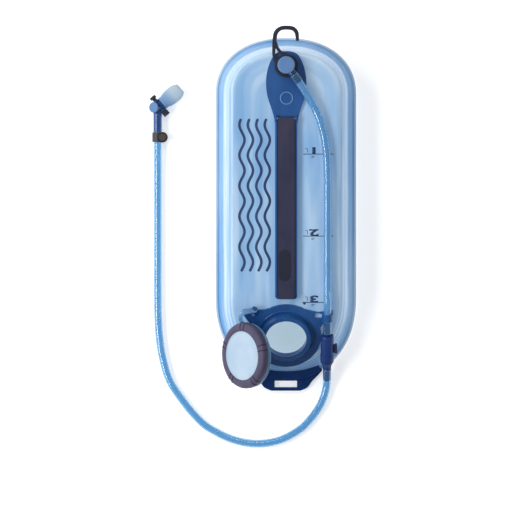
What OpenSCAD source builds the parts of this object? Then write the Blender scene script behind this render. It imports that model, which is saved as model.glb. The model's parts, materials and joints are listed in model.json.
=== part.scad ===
// Hydration bladder: a moulded film reservoir lying on its flat back, with a wide filler
// port and tethered screw cap, a stiff spine plate with a drying hook and a lift-out
// hanger arm, a drink hose with a quick-release coupling, and a bite valve.
// +X right, +Y towards the drying hook, +Z up from the table; origin under the middle.

/* [Reservoir] */
// Half of the reservoir's width across the weld flange
bag_half_w = 88.5; // [80:0.5:92]
// Depth of the filled reservoir from the back film to the front plateau
bag_depth = 54; // [48:1:58]
// Y of the centre of the rounded top end
top_y = 144.5; // [140:0.5:150]
// Length of the rounded top end
top_len = 71; // [66:1:76]
// Y where the front starts to slope down to the filler port
slope_y = -110.5; // [-114:0.5:-108]
// Length of the rounded bottom end
bottom_len = 102.5; // [98:0.5:106]
// Thickness of one film
film = 1.2; // [0.8:0.1:1.6]
// Width of the flat weld flange
flange_w = 5.5; // [4:0.5:7]
// Distance from the outline to the front plateau
wall_w = 22; // [20:1:24]

/* [Filler port] */
// Y of the middle of the filler port
port_y = -157.5; // [-160:0.5:-155]
// Slope of the port's plane
slope = 28; // [26:1:30]
// Radius of the port's flange
port_r = 44; // [42:0.5:46]
// Thickness of the port's flange
port_t = 3; // [2.5:0.5:4]
// Radius of the port's opening
mouth_r = 25.5; // [24:0.5:27]
// Outer radius of the threaded collar
collar_r = 31.2; // [30:0.1:32]
// Height of the collar's rim above the port's plane
collar_h = 12; // [11:0.5:13]

/* [Cap] */
// Outer radius of the cap's grip ring
cap_r = 41; // [39:0.5:42]
// Height of the cap
cap_h = 14; // [13.5:0.5:15]
// Radius of the pale disc in the cap
face_r = 29.5; // [27:0.5:31]
// Lift of the cap's skirt above the port's plane when it is held off the collar
hover = 13.4; // [13:0.1:15]
// Travel of the cap from there down to its seat
seat = 6; // [5:0.1:7]
// Angle that the tether swings from closed to open
swing = 62.4; // [60:0.1:64]
// X of the tether's pin
pin_x = -40.1; // [-41:0.1:-39]
// Y of the tether's pin
pin_y = -130.2; // [-131:0.1:-129]
// Lean of the tether's pin from upright
pin_lean = 32.7; // [32:0.1:34]
// Direction that the pin leans in, from +X towards +Y
pin_turn = 84.5; // [84:0.1:85]

/* [Spine and hook] */
// Thickness of the spine plate
spine_t = 3.5; // [3:0.5:4]
// Y of the drink outlet
outlet_y = 178; // [174:1:180]
// Half of the spine channel's width
channel_half_w = 13.7; // [13:0.1:15]
// Half of the hanger arm's width
arm_half_w = 10.6; // [10:0.1:11]
// Thickness of the hanger arm
arm_t = 4.6; // [4:0.2:5]
// Y of the hanger arm's hinge pin
hinge_y = 112; // [108:1:114]
// Y of the hanger arm's free end
arm_end_y = -112.5; // [-116:0.5:-108]
// Radius of the hinge pin
hinge_r = 1.5; // [1.2:0.1:1.8]
// Height of the drying hook's band
hook_h = 3.6; // [3:0.1:3.6]

/* [Hose] */
// Outer radius of the hose
hose_r = 4.875; // [4.5:0.125:5]
// Inner radius of the hose
hose_bore_r = 3.2; // [3:0.1:3.4]

/* [Hidden] */

$fn = 96;
running = 0.05;            // radial clearance of a pin in its bore
power = 2.2;               // exponent of the rounded ends' superellipse
floor_z = 29;              // height of the port's middle
front_z = bag_depth;       // outer surface of the front plateau
spine_z = front_z + spine_t;
side_steps = [-110.5, -25, 60, 144.5];
end_steps = 18;
wall_curve = [[0, 0], [0.06, 0.05], [0.22, 0.26], [0.42, 0.56], [0.6, 0.78], [0.8, 0.94], [1, 1]];

// Drink outlet
spout_r = 7;
stem_r = 4.4;
boss_r = 8.5;
elbow_z = 67.5;
elbow_turn = -52;
hook_ring_r = 14.4;
hook_z = 58;
// Coupling: its axis runs down the slope beside the port
coupling_x = 51.5;
coupling_n = 9.5;
socket_r = 5.6;
insert_r = 5.5;
chamber_r = 4.6;
seat_r = 3.2;
gasket_t = 1.1;
skirt = collar_h - hover + seat + 0.3 + gasket_t;
barb_r = 3.6;
bore_r = 2.1;
// Bite valve end
clip_tilt = 3;
clip_start = -13.1;        // where the hose clip begins, along the hose
bite_x = -161;
bite_y = 97.5;
bite_z = 8;
valve_turn = 40;
neck_r = 4;
cover_tilt = 34;

// Hose routes: points along the middle of each hose
upper_route = [
    [9, 166.5, 67.4], [14.2, 159.8, 66.4], [21, 149.5, 64.6], [28.5, 137.5, 62.6],
    [35.5, 124.5, 60.8], [41.5, 110.5, 59.6], [46, 95, 59.2], [49, 78, 59.1], [50.7, 60, 59.1],
    [51.4, 40, 59.1], [51.5, 10, 59.1], [51.5, -20, 59.1], [51.5, -50, 59.1],
    [51.5, -74, 59.4], [51.5, -90, 60.2], [51.5, -104, 60.9], [51.5, -117, 59.4],
    [51.5, -129.3, 54.8], [51.5, -143, 47.5], [51.5, -155.4, 40.9]
];
drink_route = [
    [51.5, -214.5, 9.4], [51.5, -217, 8.1], [50.5, -225, 5.8], [47.5, -236, 4.9], [42, -248, 4.9], [32, -262, 4.9], [17.5, -276.5, 4.9], [-8, -290, 4.9], [-37, -294.5, 4.9],
    [-67.5, -289, 4.9], [-97, -274.5, 4.9], [-113, -260.5, 4.9], [-128, -242.5, 4.9],
    [-145.5, -216.5, 4.9], [-154, -190, 4.9], [-158.5, -164, 4.9], [-160.5, -135, 4.9],
    [-161, -100, 4.9], [-161, -60, 4.9], [-161, -20, 4.9], [-161, 15, 4.9], [-161, 40, 5],
    [-161, 70, 6.56], [-161, 97.5, 8]
];

// Spine plate's half width at a few heights, from the rounded top to the channel
spine_profile = [
    [196, 0], [195.4, 7], [192.5, 13.5], [186.5, 18], [177, 22], [165, 24.6], [155, 25],
    [145, 24.2], [136, 22.2], [126, 18.8], [115, 15.4], [105, channel_half_w]
];
// Middle line of the hook's band about the outlet, and the width there
hook_band = [
    [-13, 2, 2.6], [-15.4, 13, 3.6], [-15, 24, 4.6], [-14.3, 33, 5.2], [-12.6, 41, 5.4],
    [-7, 46, 5], [1, 47, 5], [8.5, 45.8, 5], [12.6, 41.6, 5], [13.7, 36, 4.4], [14.1, 30.6, 3.6]
];
hook_brace = [[-13.6, 29, 4.4], [-10.6, 21, 3.8], [-5.4, 15.4, 4], [0, 12.6, 5]];

function signed_pow(v, p) = sign(v) * pow(abs(v), p);

// One rounded end of the reservoir's outline, inset by d
function bag_end(d, middle_y, len, from) = [
    for (i = [0 : end_steps])
        let (t = from + 180 * i / end_steps)
        [
            (bag_half_w - d) * signed_pow(cos(t), 2 / power),
            middle_y + (len - d) * signed_pow(sin(t), 2 / power)
        ]
];

// The whole outline, inset by d, counter-clockwise from the right end of the top arc
function bag_ring(d) = concat(
    bag_end(d, top_y, top_len, 0),
    [for (i = [2, 1]) [-(bag_half_w - d), side_steps[i]]],
    bag_end(d, slope_y, bottom_len, 180),
    [for (i = [1, 2]) [bag_half_w - d, side_steps[i]]]
);

// Height of the front film's outer surface where the wall is fully up
function front_height(y) =
    y > slope_y ? front_z : max(6, front_z - (slope_y - y) * tan(slope) * slope_fit);
slope_fit = (front_z - floor_z) / ((slope_y - port_y) * tan(slope));

function lift(points, rise, drop) = [
    for (p = points) [p.x, p.y, 2 * film + (front_height(p.y) - 2 * film) * rise - drop]
];

// Catmull-Rom curve through p, with n steps between points
function spline(p, n) = let (last = len(p) - 1) concat(
    [for (i = [0 : last - 1], k = [0 : n - 1])
        let (
            t = k / n,
            a = p[max(i - 1, 0)], b = p[i], c = p[i + 1], d = p[min(i + 2, last)]
        )
        0.5 * (2 * b + (c - a) * t + (2 * a - 5 * b + 4 * c - d) * t * t
            + (3 * b - a - 3 * c + d) * t * t * t)],
    [p[last]]
);

function unit(v) = v / norm(v);
function side_of(band, i) = let (
    last = len(band) - 1,
    a = band[max(i - 1, 0)],
    b = band[min(i + 1, last)],
    d = unit([b.x - a.x, b.y - a.y])
) [-d.y, d.x];

// Outline of a flat band: points hold x, y and the width there
function band_outline(band) = concat(
    [for (i = [0 : len(band) - 1])
        [band[i].x, band[i].y] + side_of(band, i) * band[i].z / 2],
    [for (i = [len(band) - 1 : -1 : 0])
        [band[i].x, band[i].y] - side_of(band, i) * band[i].z / 2]
);

// Rings of a round tube that follows a route
function along(route, i) =
    unit(route[min(i + 1, len(route) - 1)] - route[max(i - 1, 0)]);
function tube_points(route, r, sides) = [
    for (i = [0 : len(route) - 1])
        let (
            t = along(route, i),
            u = unit(cross(t, [0, 0, 1])),
            v = cross(u, t)
        )
        for (k = [0 : sides - 1])
            let (w = 360 * (k + 0.5) / sides)
            route[i] + r * (u * cos(w) + v * sin(w))
];
function tube_faces(rings, sides) = concat(
    [[for (k = [0 : sides - 1]) k]],
    [for (i = [0 : rings - 2], k = [0 : sides - 1]) let (n = (k + 1) % sides)
        [i * sides + k, (i + 1) * sides + k, (i + 1) * sides + n, i * sides + n]],
    [[for (k = [sides - 1 : -1 : 0]) (rings - 1) * sides + k]]
);

module tube(route, r, sides = 12) {
    polyhedron(tube_points(route, r, sides), tube_faces(len(route), sides), convexity = 6);
}

module ring(r_out, r_in, h) {
    difference() {
        cylinder(r = r_out, h = h);
        translate([0, 0, -1]) cylinder(r = r_in, h = h + 2);
    }
}

// A coil spring standing on z = 0
module coil(r, wire, len, turns) {
    steps = turns * 14;
    tube([for (i = [0 : steps]) let (t = 360 * turns * i / steps)
        [r * cos(t), r * sin(t), wire + (len - 2 * wire) * i / steps]], wire, 6);
}

// A hose barb along +Z from 0 to len, thicker at each rib
module barb(len, ribs) {
    difference() {
        union() {
            cylinder(r = hose_bore_r, h = len);
            for (i = [0 : ribs - 1])
                translate([0, 0, (i + 0.5) * len / ribs - 1])
                    cylinder(r1 = barb_r, r2 = hose_bore_r, h = 2.4, $fn = 48);
        }
        translate([0, 0, -1]) cylinder(r = bore_r, h = len + 2);
    }
}

// Places children on the port's plane, +Z along the port's axis
module at_port() {
    translate([0, port_y, floor_z]) rotate([slope, 0, 0]) children();
}

// Places children beside the port, +Z down the slope along the coupling's axis
module at_coupling() {
    at_port() translate([coupling_x, 0, coupling_n]) rotate([90, 0, 0]) children();
}

// Turns the closed cap and its tether about the tether's pin to their open place
module opened() {
    pin_base() rotate([0, 0, -swing]) rotate([0, -pin_lean, 0]) rotate([0, 0, -pin_turn])
        translate([-pin_x, -pin_y, -pin_z]) children();
}
pin_z = floor_z + (pin_y - port_y) * sin(slope) / cos(slope) + port_t / cos(slope);

// Places children on the tether's pin, +Z along it
module pin_base() {
    translate([pin_x, pin_y, pin_z]) rotate([0, pin_lean, pin_turn]) children();
}

// Places the cap's parts, whose skirt starts at z = 0
module at_cap() {
    opened() at_port() translate([0, 0, hover]) children();
}

// Places children at the middle of the drink outlet
module at_outlet(z) {
    translate([0, outlet_y, z]) children();
}

// Places children at the end of the drink hose, +Z along the hose
module at_bite() {
    translate([bite_x, bite_y, bite_z]) rotate([clip_tilt - 90, 0, 0]) children();
}

// Places children where the adapter meets the bite valve, in the table's axes
module at_bite_elbow() {
    translate([bite_x, bite_y + 30 * cos(clip_tilt), bite_z + 30 * sin(clip_tilt)]) children();
}

module back_film() {
    color([0.62, 0.76, 0.88])
        linear_extrude(film) polygon(bag_ring(0));
}

module front_film() {
    top_rim = [lift(bag_ring(0), 0, 0)];
    outer = [for (w = wall_curve) lift(bag_ring(flange_w + (wall_w - flange_w) * w.x), w.y, 0)];
    inner = [for (w = wall_curve)
        lift(bag_ring(flange_w + 1.4 + (wall_w - flange_w) * w.x), w.y, film)];
    bottom_rim = [lift(bag_ring(0), 0, film)];
    last = len(wall_curve) - 1;
    rings = concat([for (i = [last : -1 : 0]) inner[i]], bottom_rim, top_rim, outer);
    n = len(bag_ring(0));
    count = len(rings);
    middles = [[0, 0, front_z], [0, slope_y - 30, front_height(slope_y - 30)]];
    color([0.6, 0.8, 0.93])
        difference() {
            polyhedron(
                concat(
                    [for (r = rings, p = r) p],
                    [for (m = middles) m - [0, 0, film]],
                    middles
                ),
                concat(
                    film_cap(0, n, count * n, false),
                    [for (i = [0 : count - 2], k = [0 : n - 1], half = [0, 1])
                        let (a = i * n + k, b = i * n + (k + 1) % n, c = a + n, d = b + n)
                        half == 0 ? [a, d, b] : [a, c, d]],
                    film_cap((count - 1) * n, n, count * n + 2, true)
                ),
                convexity = 8
            );
            at_port() translate([0, 0, -20]) cylinder(r = mouth_r + 1, h = 40);
            at_outlet(40) cylinder(r = spout_r, h = 30);
        }
}

// Triangles that close one end of the front film: the plateau's ring points and the slope's,
// each joined to a middle point
function film_cap(first, n, middle, turned) = let (
    left = end_steps + 3,
    right = n - 3,
    loops = [
        concat([for (k = [0 : left]) k], [for (k = [right : n - 1]) k]),
        [for (k = [left : right]) k]
    ]
) [
    for (j = [0, 1], i = [0 : len(loops[j]) - 1])
        let (a = first + loops[j][i], b = first + loops[j][(i + 1) % len(loops[j])])
        turned ? [b, a, middle + j] : [a, b, middle + j]
];

module hang_tab() {
    slot_w = 28;
    slot_h = 8;
    slot_y = -219.5;
    color([0.28, 0.37, 0.53])
        difference() {
            union() {
                translate([0, 0, 2 * film]) linear_extrude(3.4) polygon(concat(
                    spline([[46, -202], [40, -209], [33, -216], [27, -224], [18, -228]], 4),
                    spline([[-18, -228], [-27, -224], [-33, -216], [-40, -209], [-46, -202]], 4),
                    spline([[-44, -199], [-22, -206.5], [0, -208.5], [22, -206.5], [44, -199]], 4)
                ));
                translate([0, 0, 2 * film]) linear_extrude(6.6)
                    polygon(band_outline(spline(tab_ridge, 4)));
            }
            translate([-slot_w / 2, slot_y - slot_h / 2, 0]) cube([slot_w, slot_h, 12]);
        }
}
tab_ridge = [
    [-43, -199.5, 8], [-22, -207.2, 11], [0, -209.2, 11.6], [22, -207.2, 11], [43, -199.5, 8]
];

module spine_plate() {
    half = spline(spine_profile, 3);
    right = [for (p = half) [p.y, p.x]];
    left = [for (i = [len(half) - 1 : -1 : 1]) [-half[i].y, half[i].x]];
    foot = arm_end_y;
    corner = 4;
    rail_t = channel_half_w - arm_half_w - 0.5;
    color([0.15, 0.34, 0.58])
        difference() {
            union() {
                translate([0, 0, front_z]) linear_extrude(spine_t) polygon(concat(
                    right,
                    [for (t = [0 : 15 : 90]) [
                        channel_half_w - corner + corner * cos(t), foot + corner - corner * sin(t)]],
                    [for (t = [90 : -15 : 0]) [
                        corner - channel_half_w - corner * cos(t), foot + corner - corner * sin(t)]],
                    left
                ));
                at_outlet(front_z) cylinder(r = boss_r, h = hook_z + hook_h - front_z);
                for (s = [-1, 1])
                    translate([s * (channel_half_w - rail_t / 2) - rail_t / 2, foot + 4, front_z])
                        cube([rail_t, hinge_y - foot, spine_t + 3.2]);
                for (s = [-1, 1])
                    translate([s * (channel_half_w - rail_t / 2) - rail_t / 2, hinge_y, hinge_z()])
                        rotate([0, 90, 0]) cylinder(r = 3.4, h = rail_t);
            }
            at_outlet(front_z - 1) cylinder(r = spout_r + running, h = 12);
            translate([-20, hinge_y, hinge_z()]) rotate([0, 90, 0])
                cylinder(r = hinge_r, h = 40);
        }
}
function hinge_z() = spine_z + 0.3 + arm_t / 2;

module outlet_spout() {
    color([0.5, 0.7, 0.86])
        at_outlet(front_z - film - 1.6)
            difference() {
                union() {
                    cylinder(r = 14, h = 1.6);
                    cylinder(r = spout_r, h = 10.5);
                }
                translate([0, 0, -1]) cylinder(r = stem_r + 0.4, h = 14);
            }
}

module outlet_oring() {
    color([0.1, 0.1, 0.12])
        at_outlet(57.6) rotate_extrude() translate([stem_r - 0.2, 0]) circle(r = 0.62, $fn = 24);
}

module outlet_elbow() {
    color([0.08, 0.2, 0.38])
        difference() {
            union() {
                at_outlet(hook_z + hook_h + 0.1) cylinder(r = 9.6, h = 9.6);
                at_outlet(53) cylinder(r = stem_r, h = 12);
                at_outlet(elbow_z) rotate([0, 90, elbow_turn]) {
                    cylinder(r = 5, h = 13.5);
                    translate([0, 0, 13.5]) barb(12, 3);
                }
            }
            at_outlet(52) cylinder(r = 3, h = 16);
            at_outlet(57.6) rotate_extrude() translate([stem_r, 0]) circle(r = 0.7, $fn = 24);
            at_outlet(elbow_z) rotate([0, 90, elbow_turn]) cylinder(r = bore_r, h = 27);
        }
}

module elbow_cap() {
    color([0.37, 0.53, 0.72])
        at_outlet(hook_z + hook_h + 9.7) {
            cylinder(r = 10.8, h = 1.6);
            translate([0, 0, 1.6]) cylinder(r1 = 10.8, r2 = 9.9, h = 0.9);
        }
}

module drying_hook() {
    color([0.19, 0.19, 0.25])
        difference() {
            at_outlet(hook_z) {
                cylinder(r = hook_ring_r, h = hook_h);
                linear_extrude(hook_h) polygon(band_outline(spline(hook_band, 4)));
                linear_extrude(hook_h) polygon(band_outline(spline(hook_brace, 4)));
            }
            at_outlet(hook_z - 1) cylinder(r = boss_r + running, h = hook_h + 2);
        }
}

module arm_hinge_pin() {
    color([0.7, 0.7, 0.72])
        translate([-channel_half_w, hinge_y, hinge_z()]) rotate([0, 90, 0])
            cylinder(r = hinge_r, h = 2 * channel_half_w);
}

module hanger_arm() {
    low = spine_z + 0.3;
    color([0.22, 0.25, 0.34])
        difference() {
            union() {
                translate([0, 0, low]) linear_extrude(arm_t) polygon(concat(
                    [[arm_half_w, hinge_y], [-arm_half_w, hinge_y]],
                    [for (t = [180 : 15 : 270])
                        [5 * cos(t) - arm_half_w + 5, arm_end_y + 5 + 5 * sin(t)]],
                    [for (t = [270 : 15 : 360])
                        [5 * cos(t) + arm_half_w - 5, arm_end_y + 5 + 5 * sin(t)]]
                ));
                translate([-arm_half_w, hinge_y, hinge_z()]) rotate([0, 90, 0])
                    cylinder(r = arm_t / 2, h = 2 * arm_half_w);
            }
            translate([-20, hinge_y, hinge_z()]) rotate([0, 90, 0])
                cylinder(r = hinge_r + running, h = 40);
            translate([grip_x, grip_y - grip_len / 2, low + arm_t - 1.2])
                linear_extrude(4) grip_outline(grip_half_w);
        }
}
grip_x = -1.9;
grip_y = -70.5;
grip_half_w = 7.5;
grip_len = 39;

module thumb_grip() {
    ribs = 12;
    pitch = grip_len / ribs;
    color([0.16, 0.17, 0.24])
        translate([grip_x, grip_y - grip_len / 2, spine_z + 0.3 + arm_t - 1.2]) {
            linear_extrude(1.2) grip_outline(grip_half_w);
            intersection() {
                linear_extrude(3) grip_outline(grip_half_w - 0.6);
                for (i = [0 : ribs - 1])
                    translate([-grip_half_w, (i + 0.25) * pitch, 1])
                        cube([2 * grip_half_w, pitch / 2, 1.1]);
            }
        }
}

// Outline of the thumb grip with round ends, centred on X and starting at Y = 0
module grip_outline(half_w) {
    for (y = [grip_half_w, grip_len - grip_half_w]) translate([0, y]) circle(r = half_w);
    translate([-half_w, grip_half_w]) square([2 * half_w, grip_len - 2 * grip_half_w]);
}

module port_frame() {
    color([0.12, 0.31, 0.53])
        difference() {
            union() {
                at_port() linear_extrude(port_t) union() {
                    circle(r = port_r);
                    polygon(spline([[-14, 41], [-30, 36.5], [-42, 38], [-53, 36.5], [-54, 33],
                        [-50, 25], [-42, 14]], 4));
                    polygon([[24, 37], [40, 33], [58, 36], [58.6, 26], [50, 24], [43, 12]]);
                }
                pin_base() translate([0, 0, -1]) cylinder(r = 3.4, h = 5);
            }
            at_port() translate([0, 0, -10]) cylinder(r = collar_r, h = 40);
            at_port() translate([41.5, 28.5, -1]) linear_extrude(8)
                polygon([[-6, -3.5], [3, -3.2], [3, 3.2], [-5, 4.4]]);
            at_port() translate([0, 0, -10]) cylinder(r = 90, h = 10);
            pin_base() translate([0, 0, 0.2]) cylinder(r = 2.2, h = 6);
        }
}

module port_collar() {
    color([0.12, 0.31, 0.53]) at_port() ring(collar_r, mouth_r, collar_h);
}

module hose_loop() {
    loop_y = 31;
    loop_len = 10;
    color([0.12, 0.31, 0.53])
        difference() {
            at_coupling() translate([0, 0, -loop_y - loop_len / 2]) {
                cylinder(r = hose_r + 2, h = loop_len);
                translate([-3, -coupling_n, 0]) cube([6, 6, loop_len]);
            }
            at_coupling() translate([0, 0, -loop_y - loop_len / 2 - 1])
                cylinder(r = hose_r + 0.5, h = loop_len + 2);
            at_port() translate([0, 0, -10]) cylinder(r = 90, h = 10 + port_t);
        }
}

module tether_pin() {
    color([0.1, 0.26, 0.46])
        pin_base() {
            translate([0, 0, 0.2]) cylinder(r = 2.2, h = 10.7);
            translate([0, 0, 10.9]) cylinder(r1 = 3.2, r2 = 2.4, h = 1.4);
        }
}

module tether_strap() {
    t = 2.2;
    low = 7.9;
    color([0.5, 0.72, 0.9])
        difference() {
            union() {
                pin_base() translate([0, 0, low]) cylinder(r = 4.2, h = t);
                strap_piece([-43, -127.2, 54.8], [-54.5, -131.5, 58]);
                strap_piece([-54.5, -131.5, 58], [-55.6, -140.4, 49.7]);
            }
            pin_base() translate([0, 0, low - 6]) cylinder(r = 2.2 + running, h = 14);
        }
}

module strap_piece(a, b) {
    hull() for (p = [a, b]) translate(p) sphere(r = 1.9, $fn = 24);
}

module tether_ring() {
    color([0.55, 0.78, 0.94])
        at_cap() difference() {
            union() {
                translate([0, 0, 0.6]) cylinder(r = 40, h = 1.7);
                translate([0, 0, 2.2]) cylinder(r = 39.1, h = 1.4);
                translate([0, 0, 3.5]) cylinder(r = 40, h = 1.4);
            }
            cylinder(r = 38.3, h = 10);
        }
}

module cap_body() {
    color([0.14, 0.3, 0.5])
        at_cap() difference() {
            cylinder(r = 38, h = 11.4);
            translate([0, 0, -1]) cylinder(r = collar_r + 0.8, h = 1 + skirt);
        }
}

module cap_gasket() {
    color([0.8, 0.87, 0.92])
        at_cap() translate([0, 0, skirt - gasket_t])
            ring(collar_r + 0.3, mouth_r + 1.5, gasket_t);
}

module cap_grip() {
    pairs = 5;
    color([0.38, 0.34, 0.45])
        at_cap() difference() {
            rotate_extrude() polygon(concat(
                [[face_r, 11.4], [38, 11.4], [38, 5.4], [cap_r - 0.8, 5.4], [cap_r, 6.2]],
                [for (t = [0 : 15 : 90]) [cap_r - 2.6 + 2.6 * cos(t), cap_h - 2.6 + 2.6 * sin(t)]],
                [[face_r, cap_h]]
            ));
            for (i = [0 : pairs - 1], s = [-1, 1])
                rotate([0, 0, 360 / pairs * i + 5 * s + 18])
                    translate([cap_r - 1.2, -0.8, 5]) cube([3, 1.6, cap_h]);
        }
}

module cap_face() {
    color([0.75, 0.83, 0.9])
        at_cap() translate([0, 0, 11.4]) {
            cylinder(r = face_r, h = cap_h - 11.6);
            translate([0, 0, cap_h - 11.6]) cylinder(r1 = face_r, r2 = face_r - 6, h = 0.7);
        }
}

module upper_hose() {
    color([0.45, 0.72, 0.92]) tube(upper_route, hose_r);
}

// The straight stretch of the drink hose that is pushed over the insert's barb
module hose_end() {
    color([0.45, 0.62, 0.78])
        at_coupling() translate([0, 0, 43.1]) ring(hose_r, hose_bore_r, 15.9);
}

module drink_hose() {
    color([0.45, 0.62, 0.78]) tube(drink_route, hose_r);
}

// The coupling is drawn along its own axis: z = 0 is level with the port's middle
module coupling_body() {
    color([0.22, 0.31, 0.53])
        at_coupling() difference() {
            union() {
                translate([0, 0, -21.8]) barb(17.2, 4);
                translate([0, 0, -5]) cylinder(r1 = 7.2, r2 = 8.1, h = 2);
                translate([0, 0, -3]) cylinder(r = 8.1, h = 30);
                translate([0, 0, 22]) cylinder(r = 8.6, h = 8.6);
            }
            translate([0, 0, -1]) cylinder(r = chamber_r, h = 10.5);
            translate([0, 0, 9]) cylinder(r = seat_r, h = 4);
            translate([0, 0, 12]) cylinder(r = socket_r, h = 20);
            translate([0, 0, -6]) cylinder(r = bore_r, h = 10);
            translate([5.8, -3.2, 8.8]) cube([6, 6.4, 10.4]);
        }
}

module check_poppet() {
    color([0.85, 0.87, 0.9])
        at_coupling() {
            translate([0, 0, 5.6]) cylinder(r = chamber_r - 0.3, h = 1.6);
            translate([0, 0, 7.2]) cylinder(r = seat_r - 0.4, h = 5.7);
        }
}

module poppet_spring() {
    color([0.75, 0.75, 0.78])
        at_coupling() translate([0, 0, -0.9]) coil(3.4, 0.35, 6.4, 5);
}

module release_button() {
    color([0.25, 0.27, 0.42])
        at_coupling() {
            translate([7.4, -2.9, 9.1]) cube([2.6, 5.8, 9.8]);
            translate([9.6, -3.6, 8.4]) cube([2.9, 7.2, 11.2]);
        }
}

module button_spring() {
    color([0.75, 0.75, 0.78])
        at_coupling() translate([5.82, 0, 14]) rotate([0, 90, 0]) coil(1.5, 0.22, 1.56, 3);
}

module male_insert() {
    color([0.2, 0.29, 0.5])
        at_coupling() difference() {
            union() {
                translate([0, 0, 13]) cylinder(r = insert_r, h = 18);
                translate([0, 0, 30.9]) cylinder(r = 8.2, h = 2);
                translate([0, 0, 32.9]) cylinder(r1 = 7.4, r2 = 5.2, h = 6.6);
                translate([0, 0, 39.5]) cylinder(r = 5.2, h = 3.6);
                translate([0, 0, 43]) barb(16, 4);
            }
            translate([0, 0, 12]) cylinder(r = bore_r, h = 50);
            translate([0, 0, 18]) ring(insert_r + 1, insert_r - 1.2, 1.6);
        }
}

module insert_oring() {
    color([0.1, 0.1, 0.12])
        at_coupling() translate([0, 0, 18.8]) rotate_extrude()
            translate([insert_r - 0.62, 0]) circle(r = 0.6, $fn = 24);
}

module hose_clip() {
    color([0.35, 0.35, 0.37])
        at_bite() translate([0, 0, clip_start]) difference() {
            union() {
                cylinder(r = hose_r + 1.9, h = 12);
                translate([6.2, 0, 6]) rotate([90, 0, 0]) translate([0, 0, -1])
                    cylinder(r = 6.6, h = 7);
            }
            translate([0, 0, -1]) cylinder(r = hose_r + running, h = 14);
            translate([6.2, 0, 6]) rotate([90, 0, 0]) translate([0, 0, 4.9]) cylinder(r = 5, h = 4);
        }
}

module clip_magnet() {
    color([0.4, 0.38, 0.37])
        at_bite() translate([6.2, 0, clip_start + 6]) rotate([90, 0, 0])
            translate([0, 0, 4.9]) cylinder(r = 5, h = 1.5);
}

module bite_adapter() {
    color([0.2, 0.4, 0.62])
        at_bite() difference() {
            union() {
                translate([0, 0, -12]) barb(12, 3);
                cylinder(r = 5.4, h = 22.5);
                cylinder(r = neck_r, h = 26);
            }
            translate([0, 0, -13]) cylinder(r = bore_r, h = 50);
        }
}

module bite_elbow() {
    color([0.12, 0.22, 0.42])
        at_bite_elbow() difference() {
            union() {
                rotate([0, -cover_tilt, 0]) translate([0, 0, -5.5]) cylinder(r = 6.5, h = 13.3);
                rotate([clip_tilt - 90, 0, 0]) translate([0, 0, -7.4]) cylinder(r = 5.6, h = 8);
                rotate([0, 90, valve_turn]) cylinder(r = 6.4, h = 13);
            }
            rotate([clip_tilt - 90, 0, 0]) translate([0, 0, -10])
                cylinder(r = neck_r + running, h = 6.4);
            rotate([0, 90, valve_turn]) translate([0, 0, 6.8]) {
                cylinder(r = 2.4, h = 10);
                translate([0, 0, -3.3]) rotate([90, 0, 0]) translate([0, 0, -20])
                    cylinder(r = 2.6, h = 40);
            }
        }
}

module bite_cover() {
    color([0.45, 0.55, 0.75])
        at_bite_elbow() rotate([0, -cover_tilt, 0]) translate([0, 0, 7.8]) {
            cylinder(r = 6.7, h = 1.2);
            translate([0, 0, 1.2]) cylinder(r1 = 6.7, r2 = 6, h = 0.6);
        }
}

module shutoff_slider() {
    color([0.13, 0.15, 0.25])
        at_bite_elbow() rotate([0, 90, valve_turn]) translate([0, 0, 3.5]) rotate([90, 0, 0]) {
            translate([0, 0, -13]) cylinder(r = 2.55, h = 26);
            for (s = [-1, 1]) translate([0, 0, s * 13.2 - 1.8]) cylinder(r = 4.2, h = 3.6);
        }
}

module bite_valve() {
    color([0.72, 0.82, 0.9])
        at_bite_elbow() rotate([0, 90, valve_turn]) translate([0, 0, 8.6])
            difference() {
                hull() {
                    cylinder(r = 7.7, h = 8, $fn = 32);
                    translate([0, 0, 14]) scale([0.78, 1.08, 1]) cylinder(r = 8.2, h = 8, $fn = 32);
                    translate([0, 0, 22]) scale([0.5, 1, 1]) cylinder(r = 8.2, h = 5.5, $fn = 32);
                }
                translate([0, 0, -1]) cylinder(r = 6.4, h = 5.5);
                translate([0, 0, 4.4]) cylinder(r = 4.5, h = 19);
            }
}

back_film();
front_film();
hang_tab();
spine_plate();
outlet_spout();
outlet_oring();
outlet_elbow();
elbow_cap();
drying_hook();
arm_hinge_pin();
hanger_arm();
thumb_grip();
port_frame();
port_collar();
hose_loop();
tether_pin();
tether_strap();
tether_ring();
cap_body();
cap_grip();
cap_face();
cap_gasket();
upper_hose();
coupling_body();
check_poppet();
poppet_spring();
release_button();
button_spring();
male_insert();
insert_oring();
hose_end();
drink_hose();
hose_clip();
clip_magnet();
bite_adapter();
bite_elbow();
bite_cover();
shutoff_slider();
bite_valve();
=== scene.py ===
import json
import math

import bmesh
import bpy
import numpy as np
from mathutils import Matrix, Vector


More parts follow.
